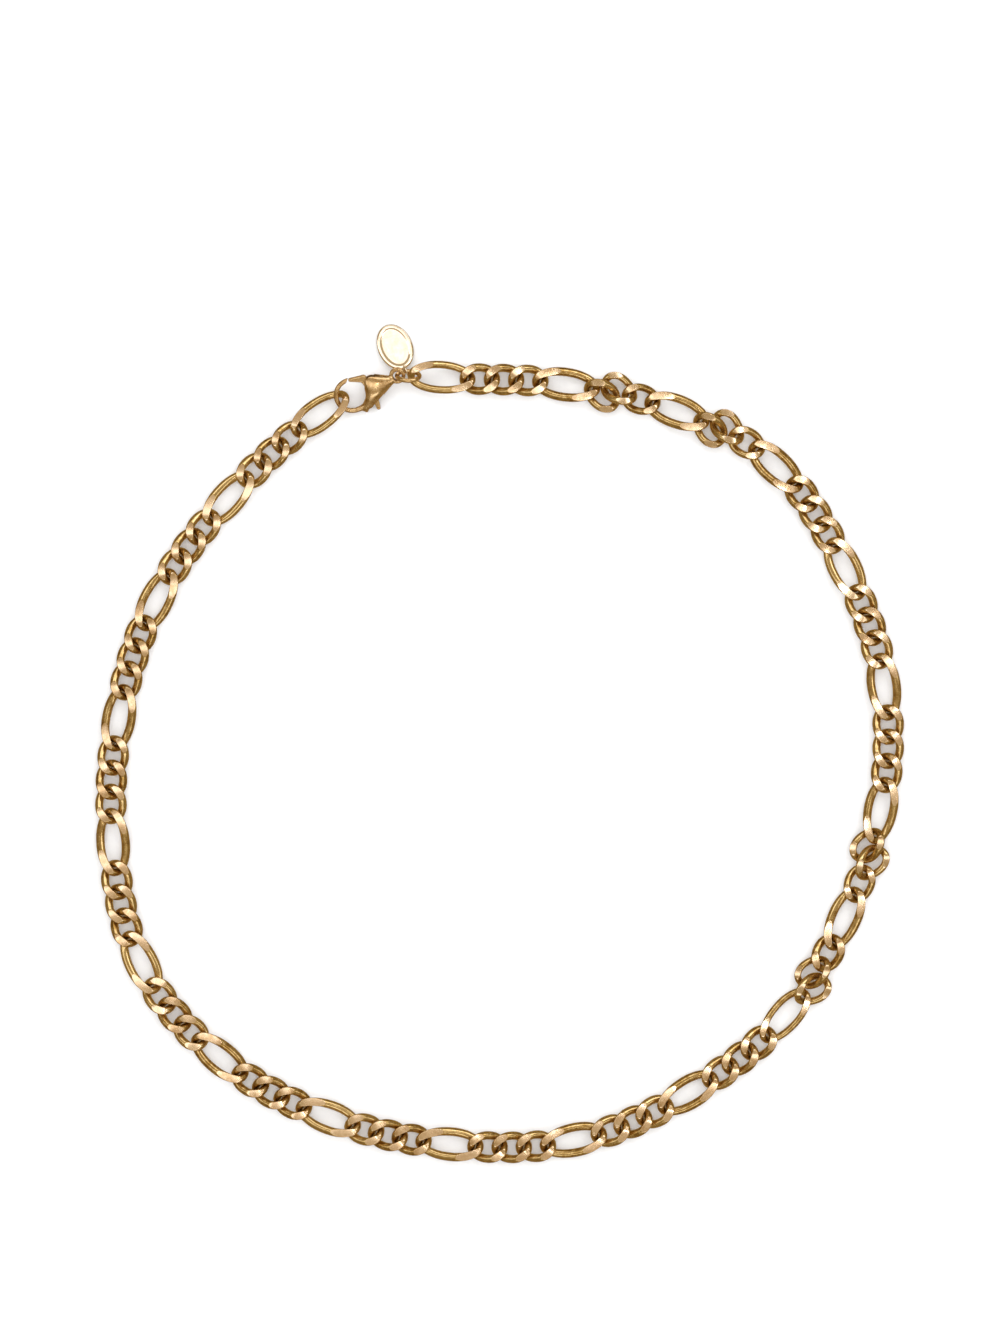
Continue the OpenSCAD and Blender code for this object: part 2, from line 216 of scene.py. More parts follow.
def link_form(a, b, end_r, side_r, stations):
    """A twisted, filed link about its own middle: points, normals and filed faces' half angles.

    A round wire is carried along the middle line, with stations at equal lengths, and swells a
    little on the link's long sides. What stands above or below the two filing planes is cut off.
    Each ring of points has seven on each filed face and seven on each flank, so the filed edges
    are rows of the mesh. Normals are those of the wire and the planes.
    """
    t = np.linspace(0, 360, OVAL_POINTS)
    run = np.r_[0, np.cumsum(np.linalg.norm(np.diff(middle(a, b, t), axis=0), axis=1))]
    t = np.interp(np.arange(stations) / stations * run[-1], run, t)
    p = middle(a, b, t)
    along = unit(middle(a, b, t + 1) - middle(a, b, t - 1))
    up = unit(np.array([0, 0, 1.0]) - along * along[:, 2:])
    side = np.cross(along, up)
    flank = np.clip((np.abs(np.sin(np.radians(t))) - FLANK_FROM) / (1 - FLANK_FROM), 0, 1)
    radius = end_r + (side_r - end_r) * flank ** 2 * (3 - 2 * flank)
    reach = radius * up[:, 2]
    radius = radius[:, None, None]

    def half_angle(height):
        return np.maximum(LEAST_FLAT, np.degrees(np.arccos(np.clip(height / reach, -1, 1))))

    top, bottom = half_angle(HALF_FILED - p[:, 2]), half_angle(HALF_FILED + p[:, 2])
    between = 180 - bottom - top
    w = np.concatenate([
        top[:, None] * FLAT_SHARES,
        top[:, None] + between[:, None] * FLANK_SHARES,
        180 + bottom[:, None] * FLAT_SHARES,
        180 + bottom[:, None] + between[:, None] * FLANK_SHARES,
    ], axis=1)
    c, n = np.cos(np.radians(w))[..., None], np.sin(np.radians(w))[..., None]
    rise = np.clip(
        radius * c,
        -((HALF_FILED + p[:, 2]) / up[:, 2])[:, None, None],
        ((HALF_FILED - p[:, 2]) / up[:, 2])[:, None, None],
    )
    points = p[:, None] + rise * up[:, None] + radius * n * side[:, None]
    normals = c * up[:, None] + n * side[:, None]
    cut = np.abs(radius * c - rise)[..., 0] > LEAST_CUT
    sign = np.sign(c)
    across = n * side[:, None] * CROWN_ACROSS
    narrowing = np.stack([np.roll(angle, -1) - np.roll(angle, 1) for angle in (top, bottom)], 1)
    lengthwise = np.repeat(narrowing, HALF_RING, axis=1)[..., None] * along[:, None] * CROWN_ALONG
    crowned = sign * np.array([0, 0, 1.0]) + across - lengthwise
    normals = np.where(cut[..., None], crowned, normals)
    deep = np.stack([top, top, bottom, bottom], 1) > CLEARLY_FLAT
    blunt = unit(normals[:, FLAT_EDGES] + sign[:, FLAT_EDGES] * np.array([0, 0, 1.0]))
    normals[:, FLAT_EDGES] = np.where(deep[..., None], blunt, normals[:, FLAT_EDGES])
    return points, unit(normals), np.stack([top, bottom], 1)


def ring_faces(stations, around):
    """Four-sided faces of a closed tube whose point number is station * around + place."""
    k, j = np.meshgrid(np.arange(stations), np.arange(around), indexing="ij")
    m, q = (k + 1) % stations, (j + 1) % around
    faces = np.stack([k * around + j, k * around + q, m * around + q, m * around + j], -1)
    return faces.reshape(-1, 4)


def link_pose(i):
    """Rotation and place of link i."""
    _, roll, tilt, turn, forward, left, height = KINKS.get(i, (0, 0, 0, 0, 0, 0, FLAT))
    place, heading = lie(LINK_S[i], half_sizes(i)[0])
    onto = turned(0, 0, heading)
    shift = onto @ np.array([forward, left, 0.0]) * 2 * WIRE_R
    return onto @ turned(roll, tilt, turn), np.array([*place, height * 2 * WIRE_R]) + shift


# Meshes

def srgb(text):
    """Linear colour of an sRGB hex text."""
    c = np.array([int(text[k:k + 2], 16) for k in (0, 2, 4)]) / 255
    c = np.where(c <= 0.04045, c / 12.92, ((c + 0.055) / 1.055) ** 2.4)
    return (*c.tolist(), 1.0)


def make_piece(name, surface, body, nodes, materials, values, material_of=None):
    """A mesh piece in metres with its own normals, point values and materials, riding a body.

    The surface is its points, normals and four-sided faces.
    """
    points, normals, faces = surface
    mesh = bpy.data.meshes.new(name)
    mesh.vertices.add(len(points))
    mesh.vertices.foreach_set("co", (np.asarray(points) * MM).astype(np.float32).ravel())
    mesh.loops.add(faces.size)
    mesh.loops.foreach_set("vertex_index", faces.astype(np.int32).ravel())
    mesh.polygons.add(len(faces))
    mesh.polygons.foreach_set("loop_start", np.arange(0, faces.size, 4, dtype=np.int32))
    mesh.update(calc_edges=True)
    mesh.validate()
    mesh.polygons.foreach_set("use_smooth", np.ones(len(mesh.polygons), bool))
    if material_of is not None:
        mesh.polygons.foreach_set("material_index", material_of.astype(np.int32))
    for key, value in values.items():
        kind, part = ("FLOAT_VECTOR", "vector") if value.ndim == 2 else ("FLOAT", "value")
        layer = mesh.attributes.new(key, kind, "POINT")
        layer.data.foreach_set(part, value.astype(np.float32).ravel())
    mesh.normals_split_custom_set_from_vertices(np.asarray(normals, np.float32))
    for material in materials:
        mesh.materials.append(material)
    piece = bpy.data.objects.new(name, mesh)
    bpy.context.scene.collection.objects.link(piece)
    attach(piece, body)
    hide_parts(*nodes)


# Materials

def node(tree, kind, links=(), **settings):
    """Adds a node with settings and links.

    A setting is the node's own property, or the value of the input of that name; links feed inputs.
    """
    made = tree.nodes.new("ShaderNode" + kind)
    for key, value in settings.items():
        if hasattr(made, key):
            setattr(made, key, value)
        else:
            made.inputs[key.replace("_", " ")].default_value = value
    for where, source in dict(links).items():
        tree.links.new(source, made.inputs[where])
    return made


def stretched(tree, value, low, high):
    """A value stretched so that low becomes 0 and high becomes 1, and held between them."""
    made = node(tree, "MapRange", {"Value": value}, From_Min=low, From_Max=high)
    return made.outputs["Result"]


def noise(tree, at, size, detail=2.0, rough=0.5, low=0.35, high=0.65):
    """Noise with features of a real size, stretched to run from 0 to 1."""
    made = node(tree, "TexNoise", {"Vector": at}, Scale=1 / size, Detail=detail, Roughness=rough)
    return stretched(tree, made.outputs["Fac"], low, high)


def scratches(tree, at, turn, length, width, low=0.58, high=0.72):
    """Fine lines: noise drawn out along one direction, of which only the crests show."""
    turned_by = (0.0, 0.0, float(np.radians(turn)))
    rolled = node(tree, "Mapping", {"Vector": at}, Rotation=turned_by).outputs[0]
    drawn_out = (1 / length, 1 / width, 1 / width)
    thin = node(tree, "Mapping", {"Vector": rolled}, Scale=drawn_out).outputs[0]
    made = node(tree, "TexNoise", {"Vector": thin}, Scale=1.0, Detail=1.0, Roughness=0.5)
    return stretched(tree, made.outputs["Fac"], low, high)


def maths(tree, operation, a, b, clamp=False):
    """An operation on two values, each a number or an output."""
    made = node(tree, "Math", operation=operation, use_clamp=clamp)
    for where, value in ((0, a), (1, b)):
        if isinstance(value, (int, float)):
            made.inputs[where].default_value = value
        else:
            tree.links.new(value, made.inputs[where])
    return made.outputs[0]


def plus(tree, a, b, clamp=False):
    return maths(tree, "ADD", a, b, clamp)


def times(tree, a, b, clamp=False):
    return maths(tree, "MULTIPLY", a, b, clamp)


def blend_colour(tree, share, a, b):
    """Mix of two colours, each a hex text or an output."""
    made = node(tree, "Mix", {0: share}, data_type="RGBA")
    for where, value in ((6, a), (7, b)):
        if isinstance(value, str):
            made.inputs[where].default_value = srgb(value)
        else:
            tree.links.new(value, made.inputs[where])
    return made.outputs[2]


def new_material(name):
    """An empty material and its node tree."""
    material = bpy.data.materials.new(name)
    material.use_nodes = True
    material.node_tree.nodes.clear()
    return material, material.node_tree


BLOTCH = 1.1
MARK_LENGTH, MARK_LENGTH_MORE = 2.2, 0.7
MARK_WIDTH, MARK_WIDTH_MORE = 0.05, 0.012
LEAST_BLOTCH = 0.25
# Darkening near other parts, tarnished brown and partly painted shade: its even share, its grained
# share and the roughness it adds
TARNISH_SHADE_EVEN, TARNISH_SHADE_GRAINED, TARNISH_SHADE_ROUGHER = 0.45, 0.55, 0.25


def gold(name, metal, deep, tarnish_and_shade_colour, rough, rougher, marks, mark_turns, grain, peel, tarnish_and_shade):
    """Yellow brass-gold plate as worn metal.

    Colour runs from the metal to a deeper tone in soft blotches, and to painted shade with
    tarnished brown in crevices.
    Roughness rises with a fine grain and along scratches, which also dent the surface.
    """
    material, tree = new_material(name)
    at = node(tree, "Attribute", attribute_name="local").outputs["Vector"]
    blotch = noise(tree, at, BLOTCH, 3.0, 0.6)
    fine = noise(tree, at, grain, 2.0, 0.6)
    shade = node(tree, "Attribute", attribute_name="shade").outputs["Fac"]
    nook = node(tree, "Attribute", attribute_name="tarnish_and_shade").outputs["Fac"]
    lines = None
    for k, turn in enumerate(mark_turns):
        length, width = MARK_LENGTH + MARK_LENGTH_MORE * k, MARK_WIDTH + MARK_WIDTH_MORE * k
        one = scratches(tree, at, turn, length, width)
        lines = one if lines is None else maths(tree, "MAXIMUM", lines, one)
    deeper = times(tree, blotch, plus(tree, LEAST_BLOTCH, shade))
    colour = blend_colour(tree, deeper, metal, deep)
    # Painted shade with tarnished brown where the surface lies near other parts
    tarnish_and_shade_share = times(tree, nook, plus(tree, TARNISH_SHADE_EVEN, times(tree, fine, TARNISH_SHADE_GRAINED)))
    tarnish_and_shade_share = times(tree, tarnish_and_shade_share, tarnish_and_shade, clamp=True)
    colour = blend_colour(tree, tarnish_and_shade_share, colour, tarnish_and_shade_colour)
    roughness = plus(tree, rough, times(tree, fine, rougher))
    roughness = plus(tree, roughness, times(tree, lines, rougher))
    roughness = plus(tree, roughness, times(tree, tarnish_and_shade_share, TARNISH_SHADE_ROUGHER), clamp=True)
    height = plus(tree, times(tree, fine, peel), times(tree, lines, -marks))
    bump = node(tree, "Bump", {"Height": height}, Strength=1.0, Distance=MM)
    shader = node(tree, "BsdfPrincipled", {
        "Base Color": colour, "Roughness": roughness, "Normal": bump.outputs[0],
    }, Metallic=1.0)
    node(tree, "OutputMaterial", {"Surface": shader.outputs[0]})
    return material


# Each material's brown is tarnished metal that also paints the shade where parts touch
FILED = gold(
    "filed_gold", metal="F7E0C4", deep="DFBF98", tarnish_and_shade_colour="6A4620", rough=0.15, rougher=0.05,
    marks=0.0005, mark_turns=(4, -9, 58), grain=0.5, peel=0.0003, tarnish_and_shade=0.9,
)
WIRE = gold(
    "wire_gold", metal="E0C591", deep="AE8A4C", tarnish_and_shade_colour="4F3213", rough=0.17, rougher=0.06,
    marks=0.0002, mark_turns=(0, 35), grain=0.8, peel=0.0002, tarnish_and_shade=1.0,
)
CLASP = gold(
    "clasp_gold", metal="EACDA2", deep="BC9460", tarnish_and_shade_colour="573A1A", rough=0.18, rougher=0.08,
    marks=0.0003, mark_turns=(20, -40, 75), grain=0.9, peel=0.0003, tarnish_and_shade=0.9,
)
RING = gold(
    "ring_gold", metal="E8CB9D", deep="BE965E", tarnish_and_shade_colour="5C3E1C", rough=0.16, rougher=0.08,
    marks=0.0003, mark_turns=(10, -50), grain=0.8, peel=0.0003, tarnish_and_shade=0.6,
)
# The tag's near-white metal colours are a painted highlight: the gold tag drawn as if blown out by
# a light's reflection
TAG = gold(
    "tag_gold", metal="FBF3E8", deep="F6E8D4", tarnish_and_shade_colour="7A5228", rough=0.07, rougher=0.05,
    marks=0.0003, mark_turns=(15, -35, 70), grain=1.2, peel=0.0002, tarnish_and_shade=0.5,
)
EVEN_SHADE = 0.5

# The chain

# Radii of the wire at the links' ends and on their sides; crossed links' wire is thinner,
# and that of two links which nearly touch is thinner still
END_R, LONG_SIDE_R, SHORT_SIDE_R = 0.7, 0.77, 0.74
CROSSED_SIDE_R, SLIM_R = 0.67, 0.61
LONG_STATIONS, SHORT_STATIONS = 110, 76
FORMS = {
    (True, False): link_form(*LONG, END_R, LONG_SIDE_R, LONG_STATIONS),
    (True, True): link_form(*LONG, WIRE_R, CROSSED_SIDE_R, LONG_STATIONS),
    (False, False): link_form(*SHORT, END_R, SHORT_SIDE_R, SHORT_STATIONS),
    (False, True): link_form(*SHORT, WIRE_R, WIRE_R, SHORT_STATIONS),
}
SLIM = {
    30: link_form(*SHORT, SLIM_R, SLIM_R, SHORT_STATIONS),
    32: link_form(*LONG, SLIM_R, SLIM_R, LONG_STATIONS),
}

# Filed faces lean a little from link to link
UNEVEN = 0.05
FILED_NORMAL = 0.95
LINE_STEP = 3.0
LOCAL_SPREAD = 40
FAR = 9.0
rng = np.random.default_rng(7)
placed, lines_of = [], []
for i in range(LINKS):
    points, normals, filed = SLIM.get(i, FORMS[i % PERIOD == 0, i in KINKS])
    rotation, place = link_pose(i)
    line = middle(*half_sizes(i), np.arange(0, 360, LINE_STEP))
    lines_of.append(line @ rotation.T + place)
    luck = rng.random(6)
    lean = np.array([*(luck[4:] - 0.5) * 2 * UNEVEN, 0.0])
    cut = np.abs(normals[..., 2:]) > FILED_NORMAL
    leaning = unit(normals + cut * np.sign(normals[..., 2:]) * lean)
    laid = points @ rotation.T + place
    laid[..., 2] = np.maximum(laid[..., 2], 0.0)
    placed.append((laid, leaning @ rotation.T, points, filed, luck[:4]))


def nearness(points, lines, depth=0.45):
    """How close points lie to other wires: 1 where they touch, 0 at depth or further off."""
    apart = np.full(len(points), FAR)
    for line in lines:
        apart = np.minimum(apart, np.linalg.norm(points[:, None] - line[None], axis=2).min(1))
    return np.clip(1 - (apart - WIRE_R) / depth, 0, 1)


def chain_piece(name, chain_node, first, last):
    """The links from first to last as one piece: filed faces and wire in their own materials."""
    columns = ("points", "normals", "faces", "filed", "local", "shade", "tarnish_and_shade")
    parts = {key: [] for key in columns}
    count = 0
    for i in range(first, last + 1):
        points, normals, local, filed, luck = placed[i]
        stations, around = points.shape[:2]
        flat = points.reshape(-1, 3)
        is_filed = np.zeros((stations, around), bool)
        is_filed[:, FLAT_FACES] = np.repeat(filed > CLEARLY_FLAT, FLAT_FACES_WIDE, axis=1)
        near = [lines_of[j] for j in (i - 1, i + 1) if 0 <= j < LINKS]
        parts["points"].append(flat)
        parts["normals"].append(normals.reshape(-1, 3))
        parts["faces"].append(ring_faces(stations, around) + count)
        parts["filed"].append(is_filed.ravel())
        parts["local"].append(local.reshape(-1, 3) + LOCAL_SPREAD * luck[:3])
        parts["shade"].append(np.full(len(flat), luck[3]))
        # Painted shade, with tarnished brown, on the wire near the neighbouring links
        parts["tarnish_and_shade"].append(nearness(flat, near))
        count += len(flat)
    joined = {key: np.concatenate(value) for key, value in parts.items()}
    surface = joined["points"], joined["normals"], joined["faces"]
    values = {key: joined[key] for key in ("local", "shade", "tarnish_and_shade")}
    make_piece(
        name, surface, "necklace", [chain_node], [WIRE, FILED], values,
        joined["filed"].astype(int),
    )


chain_piece("links_right", "chain_right", 0, HALF_LINKS)
chain_piece("links_left", "chain_left", HALF_LINKS + 1, LINKS - 1)


# Cast pieces

def smooth_least(a, b, soft):
    """The lesser of two distances, with a fillet of about the size soft where they meet."""
    h = np.clip(0.5 + 0.5 * (b - a) / soft, 0, 1)
    return b + (a - b) * h - soft * h * (1 - h)


def smooth_most(a, b, soft):
    """The greater of two distances, with the edge where they meet rounded."""
    return -smooth_least(-a, -b, soft)


def tapered(p, start, end, start_r, end_r):
    """Distance to a bar with round ends whose radius runs from start_r to end_r."""
    start, end = np.asarray(start, float), np.asarray(end, float)
    way = end - start
    share = np.clip((p - start) @ way / (way @ way), 0, 1)[..., None]
    radius = start_r + (end_r - start_r) * share[..., 0]
    return np.linalg.norm(p - start - way * share, axis=-1) - radius


def plate(outline, z, half, round_r):
    """Distance to an outline given a thickness of 2 * half and rounded edges."""
    u, v = outline + round_r, np.abs(z) - half + round_r
    inside, outside = np.minimum(np.maximum(u, v), 0), np.hypot(np.maximum(u, 0), np.maximum(v, 0))
    return inside + outside - round_r


def gradient(distance, p, step=1e-3):
    """How distance() rises along each axis at points."""
    shifts = np.eye(3) * step
    return np.stack([(distance(p + s) - distance(p - s)) / (2 * step) for s in shifts], -1)


SLIDES = 4
LEAST_SLOPE = 1e-6


def level_set(distance, low, high, step):
    """The closed surface where distance() is zero: points, normals and four-sided faces.

    A point is set in each cell of a regular grid that the surface crosses, at the mean of its
    edges' crossings, and the four cells round a crossed edge make a face. Each point then slides
    along the gradient onto the surface, and its normal is the gradient there.
    """
    axes = [np.arange(a, b + step, step) for a, b in zip(low, high)]
    grid = np.stack(np.meshgrid(*axes, indexing="ij"), -1)
    depth = distance(grid)
    total = np.zeros(tuple(n - 1 for n in depth.shape) + (3,))
    count = np.zeros(total.shape[:3])
    rings = []
    for a in range(3):
        b, c = (a + 1) % 3, (a + 2) % 3
        ahead = np.roll(depth, -1, axis=a)
        inner = np.ones(depth.shape, bool)
        for axis in (a, b, c):
            cut = [slice(None)] * 3
            cut[axis] = slice(depth.shape[axis] - 1, None)
            inner[tuple(cut)] = False
            if axis != a:
                cut[axis] = slice(0, 1)
                inner[tuple(cut)] = False
        edge = np.argwhere(inner & ((depth < 0) != (ahead < 0)))
        d0, d1 = depth[tuple(edge.T)], ahead[tuple(edge.T)]
        crossing = edge.astype(float)
        crossing[:, a] += d0 / (d0 - d1)
        cells = []
        for back_b, back_c in ((1, 1), (0, 1), (0, 0), (1, 0)):
            cell = edge.copy()
            cell[:, b] -= back_b
            cell[:, c] -= back_c
            np.add.at(total, tuple(cell.T), crossing)
            np.add.at(count, tuple(cell.T), 1)
            cells.append(np.ravel_multi_index(tuple(cell.T), count.shape))
        ring = np.stack(cells, 1)
        rings.append(np.where((d0 < 0)[:, None], ring, ring[:, ::-1]))
    used = np.flatnonzero(count.ravel())
    number = np.zeros(count.size, int)
    number[used] = np.arange(len(used))
    points = np.array(low) + step * total.reshape(-1, 3)[used] / count.ravel()[used, None]
    for _ in range(SLIDES):
        g = gradient(distance, points)
        steepness = np.maximum(LEAST_SLOPE, (g * g).sum(1))[:, None]
        points = points - distance(points)[:, None] * g / steepness
    return points, unit(gradient(distance, points)), number[np.concatenate(rings)]


def cast_piece(name, distance, low, high, step, lay, body, nodes, material, nook=None):
    """A piece cast in metal, made as a level set in its own frame and then laid in place."""
    points, normals, faces = level_set(distance, low, high, step)
    rotation, place = lay
    values = {
        "local": points, "shade": np.full(len(points), EVEN_SHADE),
        "tarnish_and_shade": np.zeros(len(points)) if nook is None else nook(points),
    }
    surface = points @ rotation.T + place, normals @ rotation.T, faces
    make_piece(name, surface, body, nodes, [material], values)


# The clasp, with the middle of its eye at the origin and its length along -X

bow = np.array([-BOW_REACH, -BOW_DROP])


def by_bow(x, y):
    """A point given from the bow's middle in radii of the bow."""
    return bow + BOW_R * np.array([x, y])


neck = np.array([-EYE_D / 2, -EYE_D / 8])
upper_shoulder, lower_shoulder = by_bow(1.37, 0.56), by_bow(0.81, -0.88)
crown, pivot = by_bow(1.42, -0.28), by_bow(1.3, -0.1)
gate_knee, nub_tip = by_bow(1.05, 0.72), by_bow(1.25, -1.37)
gate_tip = by_bow(*toward(GATE_TIP))
tip_swing = np.linalg.norm(gate_tip - pivot)
SLOT_T = LEVER_T + 2 * LEVER_GAP
HUB_ROOM = HUB_D / 2 + 0.25
SHOULDER_R = SHOULDER_T / 2
NECK_R = 0.75 * EYE_T


def rise(p):
    """How much higher a point of the clasp's middle plane lies than the eye."""
    tilt, roll = np.radians(CLASP_TILT), np.radians(CLASP_ROLL)
    return -np.sin(tilt) * p[0] + np.cos(tilt) * np.sin(roll) * p[1]


clasp_z = max(
    SHOULDER_R - rise(lower_shoulder),
    SHOULDER_R - rise(upper_shoulder),
    BODY_T / 2 - rise(crown),
    CLAW_R - rise(bow - np.array([0, BOW_R])),
)
eye_s = -FIRST_FROM_RING - RING_FROM_EYE
eye_spot, bow_spot = spot(eye_s), spot(eye_s - EYE_FROM_BOW)
clasp_heading = np.degrees(np.arctan2(*(eye_spot - bow_spot)[::-1])) + CLASP_TURN
CLASP_LIE = turned(CLASP_ROLL, CLASP_TILT, clasp_heading)
CLASP_PLACE = np.array([*eye_spot, clasp_z])

CLAW_THINNER, ROOT_THICKER = 0.05, 0.2
PAST_TIP = 4
TIP_REACH = 1.1
TIP_SOFT, ROOT_SOFT = 0.08, 0.1


def claw_distance(p):
    """The round hook from its tip round to its straight root, a little thinner towards the tip."""
    x, y, z = p[..., 0] - bow[0], p[..., 1] - bow[1], p[..., 2]
    angle = np.degrees(np.arctan2(y, x)) % 360
    share = np.clip((angle - CLAW_TIP) / (CLAW_FOOT - CLAW_TIP), 0, 1)
    thick = CLAW_R - CLAW_THINNER + CLAW_THINNER * share
    hook = np.hypot(np.hypot(x, y) - BOW_R, z) - thick
    outside = (angle < CLAW_TIP - PAST_TIP) | (angle > CLAW_FOOT)
    tip = np.append(by_bow(*toward(CLAW_TIP)), 0)
    foot = np.array([bow[0], bow[1] - BOW_R, 0])
    from_tip, from_foot = np.linalg.norm(p - tip, axis=-1), np.linalg.norm(p - foot, axis=-1)
    ends = np.minimum(from_tip - CLAW_R + CLAW_THINNER, from_foot - CLAW_R)
    hook = np.where(outside, ends, hook)
    root = tapered(p, foot, [lower_shoulder[0], foot[1], 0], CLAW_R, CLAW_R + ROOT_THICKER)
    face = toward(FACE_TURN)
    past = (p[..., :2] - pivot) @ face - (tip_swing + GATE_TIP_W / 2 + GATE_GAP)
    room = np.maximum(past, from_tip - TIP_REACH)
    return smooth_least(smooth_most(hook, -room, TIP_SOFT), root, ROOT_SOFT)


CORNER_SOFT, WALL_SOFT = 0.1, 0.05


def slot_distance(p):
    """The slot for the lever: open towards the gate, and a wedge for the thumb nub."""
    x, y = p[..., 0] - pivot[0], p[..., 1] - pivot[1]
    corner = np.maximum(x - HUB_ROOM, -HUB_ROOM - y)
    first, last = toward(NUB_FROM), toward(NUB_TO)
    wedge = np.maximum(-(first[0] * y - first[1] * x), last[0] * y - last[1] * x)
    walls = np.abs(p[..., 2]) - SLOT_T / 2
    return smooth_most(smooth_least(corner, wedge, CORNER_SOFT), walls, WALL_SOFT)


def tangent(p, a, b, a_r, b_r, side):
    """Distance past the line that touches two circles, on the side given as 1 or -1."""
    way = b - a
    length = np.linalg.norm(way)
    lean = (a_r - b_r) / length
    across = np.array([-way[1], way[0]]) / length
    out = lean * way / length + side * np.sqrt(1 - lean ** 2) * across
    return (p[..., :2] - a) @ out - a_r


NECK_LINES_SOFT, LEFT_SOFT, CAP_SOFT = 0.5, 1.7, 0.4
DOME_FALL, DOME_ROUND = 0.33, 1.4
MOUTH_R, MOUTH_SOFT = 2.36, 0.35
SLOT_SOFT = 0.08
BODY_LESS, CLAW_SOFT = 0.05, 0.45
EYE_ROUND, EYE_SOFT, HOLE_SOFT = 0.3, 0.3, 0.12
FLOOR_GAP, FLOOR_SOFT = 0.01, 0.08


def body_distance(p):
    """The clasp's body with its eye and claw.

    Lines touching the neck and both shoulders close its outline. It is thickest at the crown,
    thins evenly away from it, and is rounded over towards the outline as a pipe of that thickness.
    """
    outline = smooth_most(
        tangent(p, neck, upper_shoulder, NECK_R, SHOULDER_R, -1),
        tangent(p, neck, lower_shoulder, NECK_R, SHOULDER_R, 1), NECK_LINES_SOFT,
    )
    left = tangent(p, upper_shoulder, lower_shoulder, SHOULDER_R, SHOULDER_R, -1)
    outline = smooth_most(outline, left, LEFT_SOFT)
    outline = smooth_most(outline, p[..., 0] - neck[0] - NECK_R, CAP_SOFT)
    from_crown = np.linalg.norm(p[..., :2] - crown, axis=-1)
    half = BODY_T / 2 + DOME_FALL * (DOME_ROUND - np.hypot(from_crown, DOME_ROUND))
    form = np.hypot(p[..., 2], np.maximum(half + outline, 0)) - half
    mouth = np.linalg.norm(p[..., :2] - bow, axis=-1) - MOUTH_R
    form = smooth_most(form, -mouth, MOUTH_SOFT)
    form = smooth_most(form, -slot_distance(p), SLOT_SOFT)
    form = smooth_least(form + BODY_LESS, claw_distance(p), CLAW_SOFT)
    ring = np.linalg.norm(p[..., :2], axis=-1)
    wall, middle_r = (EYE_D - EYE_HOLE_D) / 4, (EYE_D + EYE_HOLE_D) / 4
    eye = plate(np.abs(ring - middle_r) - wall, p[..., 2], EYE_T / 2, EYE_ROUND)
    form = smooth_least(form, eye, EYE_SOFT)
    form = smooth_most(form, EYE_HOLE_D / 2 - ring, HOLE_SOFT)
    height = p @ CLASP_LIE[2] + CLASP_PLACE[2]
    return smooth_most(form, FLOOR_GAP - height, FLOOR_SOFT)


# Painted shade, with tarnished brown, in the clasp's slot and round its eye
SLOT_TARNISH_SHADE, SLOT_TARNISH_SHADE_NEAR, SLOT_TARNISH_SHADE_FADE = 0.9, 0.12, 0.15
SLOT_TARNISH_SHADE_END, SLOT_TARNISH_SHADE_END_FADE, SLOT_TARNISH_SHADE_START = 1.8, 0.6, 2.1
EYE_TARNISH_SHADE, EYE_TARNISH_SHADE_FADE = 0.7, 0.35


def clasp_nook(p):
    """Painted shade with tarnished brown in the slot's walls and round the eye's hole."""
    inside = (SLOT_T / 2 + SLOT_TARNISH_SHADE_NEAR - np.abs(p[:, 2])) / SLOT_TARNISH_SHADE_FADE
    before_end = 1 + (upper_shoulder[0] + SLOT_TARNISH_SHADE_END - p[:, 0]) / SLOT_TARNISH_SHADE_END_FADE
    in_body = p[:, 0] > bow[0] + SLOT_TARNISH_SHADE_START
    in_slot = np.clip(inside, 0, 1) * (np.clip(before_end, 0, 1) * in_body)
    from_hole = np.abs(np.linalg.norm(p[:, :2], axis=1) - EYE_HOLE_D / 2)
    at_eye = np.clip(1 - from_hole / EYE_TARNISH_SHADE_FADE, 0, 1)
    return np.maximum(SLOT_TARNISH_SHADE * in_slot, EYE_TARNISH_SHADE * at_eye)


cast_piece(
    "clasp_shell", body_distance, (-12.5, -4.4, -1.9), (1.7, 3.1, 1.9), 0.079,
    (CLASP_LIE, CLASP_PLACE), "necklace", ["clasp_body"], CLASP, clasp_nook,
)

HUB_SOFT, KNEE_SOFT, NUB_SOFT, BORE_SOFT = 0.15, 0.1, 0.15, 0.05
LEVER_ROUND = 0.22


def lever_distance(p):
    """The lever: gate, hub and thumb nub as one flat form with rounded edges, bored for the pin."""
    flat = p[..., :2]
    hub = np.linalg.norm(flat - pivot, axis=-1)
    arm = tapered(flat, pivot, gate_knee, GATE_W / 2, GATE_W / 2)
    gate = tapered(flat, gate_knee, gate_tip, GATE_W / 2, GATE_TIP_W / 2)
    nub = tapered(flat, pivot, nub_tip, NUB_W / 2, NUB_TIP_W / 2)
    outline = smooth_least(hub - HUB_D / 2, arm, HUB_SOFT)
    outline = smooth_least(outline, gate, KNEE_SOFT)
    outline = smooth_least(outline, nub, NUB_SOFT)
    bored = smooth_most(outline, PIN_D / 2 + PIN_GAP - hub, BORE_SOFT)
    return plate(bored, p[..., 2], LEVER_T / 2, LEVER_ROUND)


cast_piece(
    "clasp_gate", lever_distance, (-9.2, -5.0, -0.7), (-3.7, 3.2, 0.7), 0.06,
    (CLASP_LIE, CLASP_PLACE), "lever", ["clasp_lever"], CLASP,
)

PIN_EDGE_SOFT, DOME_SOFT = 0.12, 0.1
DOME_FROM, DOME_R = 0.6, 0.9


